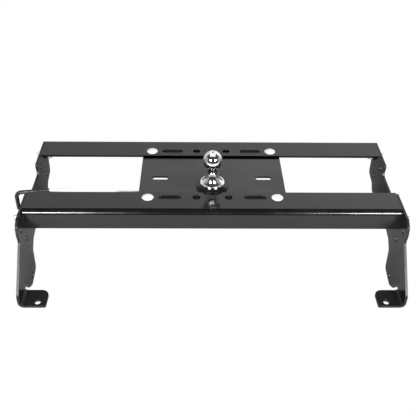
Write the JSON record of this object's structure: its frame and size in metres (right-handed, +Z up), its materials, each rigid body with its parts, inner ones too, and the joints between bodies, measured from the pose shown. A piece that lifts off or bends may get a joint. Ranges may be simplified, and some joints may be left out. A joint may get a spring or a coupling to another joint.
{
  "type": "under-bed gooseneck hitch",
  "caption": "Truck-bed trailer hitch with bent angle rails, a head plate, bolt-on side plates, a removable coupling ball and a hand-pulled latch rod.",
  "frame": {"origin": "centre of the coupling ball, seated in its socket", "axes": "+X along the rails, away from the release handle; +Y from the front rail, which is on the side of the bent feet, to the rear rail; +Z up, out of the socket"},
  "size_m": [1.173, 0.555, 0.3792],
  "materials": {
    "black_powder_coat": "semi-gloss black powder coat, fine grain",
    "zinc_plate": "bright zinc plate",
    "chrome_ball": "polished chrome",
    "black_vinyl": "dipped vinyl, slightly glossy",
    "spring_steel": "oiled spring wire",
    "seal_rubber": "matt rubber"
  },
  "bodies": {
    "frame": {"front_rail": "black_powder_coat", "rear_rail": "black_powder_coat", "head_plate": "black_powder_coat", "ball_socket": "black_powder_coat", "rear_right_gusset": "black_powder_coat", "rear_left_gusset": "black_powder_coat", "front_left_gusset": "black_powder_coat", "front_right_gusset": "black_powder_coat", "left_side_plate": "black_powder_coat", "right_side_plate": "black_powder_coat", "latch_housing": "black_powder_coat", "latch_housing_cap": "black_powder_coat", "rod_guide_bracket": "black_powder_coat", "front_left_end_tab": "black_powder_coat", "front_left_side_bolt": "zinc_plate", "front_left_side_nut": "zinc_plate", "front_left_side_washers": "zinc_plate", "front_left_deck_bolt": "zinc_plate", "front_left_deck_washer": "zinc_plate", "front_left_lock_washer": "zinc_plate", "front_left_deck_nut": "zinc_plate", "front_right_end_tab": "black_powder_coat", "front_right_side_bolt": "zinc_plate", "front_right_side_nut": "zinc_plate", "front_right_side_washers": "zinc_plate", "front_right_deck_bolt": "zinc_plate", "front_right_deck_washer": "zinc_plate", "front_right_lock_washer": "zinc_plate", "front_right_deck_nut": "zinc_plate", "rear_left_end_tab": "black_powder_coat", "rear_left_side_bolt": "zinc_plate", "rear_left_side_nut": "zinc_plate", "rear_left_side_washers": "zinc_plate", "rear_left_deck_bolt": "zinc_plate", "rear_left_deck_washer": "zinc_plate", "rear_left_lock_washer": "zinc_plate", "rear_left_deck_nut": "zinc_plate", "rear_right_end_tab": "black_powder_coat", "rear_right_side_bolt": "zinc_plate", "rear_right_side_nut": "zinc_plate", "rear_right_side_washers": "zinc_plate", "rear_right_deck_bolt": "zinc_plate", "rear_right_deck_washer": "zinc_plate", "rear_right_lock_washer": "zinc_plate", "rear_right_deck_nut": "zinc_plate", "latch_spring": "spring_steel"},
    "latch": {"latch_pin": "zinc_plate", "latch_spring_seat": "zinc_plate", "release_rod": "zinc_plate", "handle_grip": "black_vinyl", "rod_cotter_pin": "zinc_plate"},
    "ball_carrier": {"shank_o_ring": "seal_rubber"},
    "ball": {"hitch_ball": "chrome_ball"}
  },
  "joints": [
    {"name": "latch_slide", "type": "slide", "parent": "frame", "child": "latch", "axis": [1, 0, 0], "range_m": [0, 0.016], "deforming": ["latch_spring"]},
    {"name": "ball_lift", "type": "slide", "parent": "frame", "child": "ball_carrier", "axis": [0, 0, 1], "range_m": [0, 0.1]},
    {"name": "ball_spin", "type": "hinge", "parent": "ball_carrier", "child": "ball", "pos_m": [0, 0, 0], "axis": [0, 0, 1], "continuous": true}
  ]
}
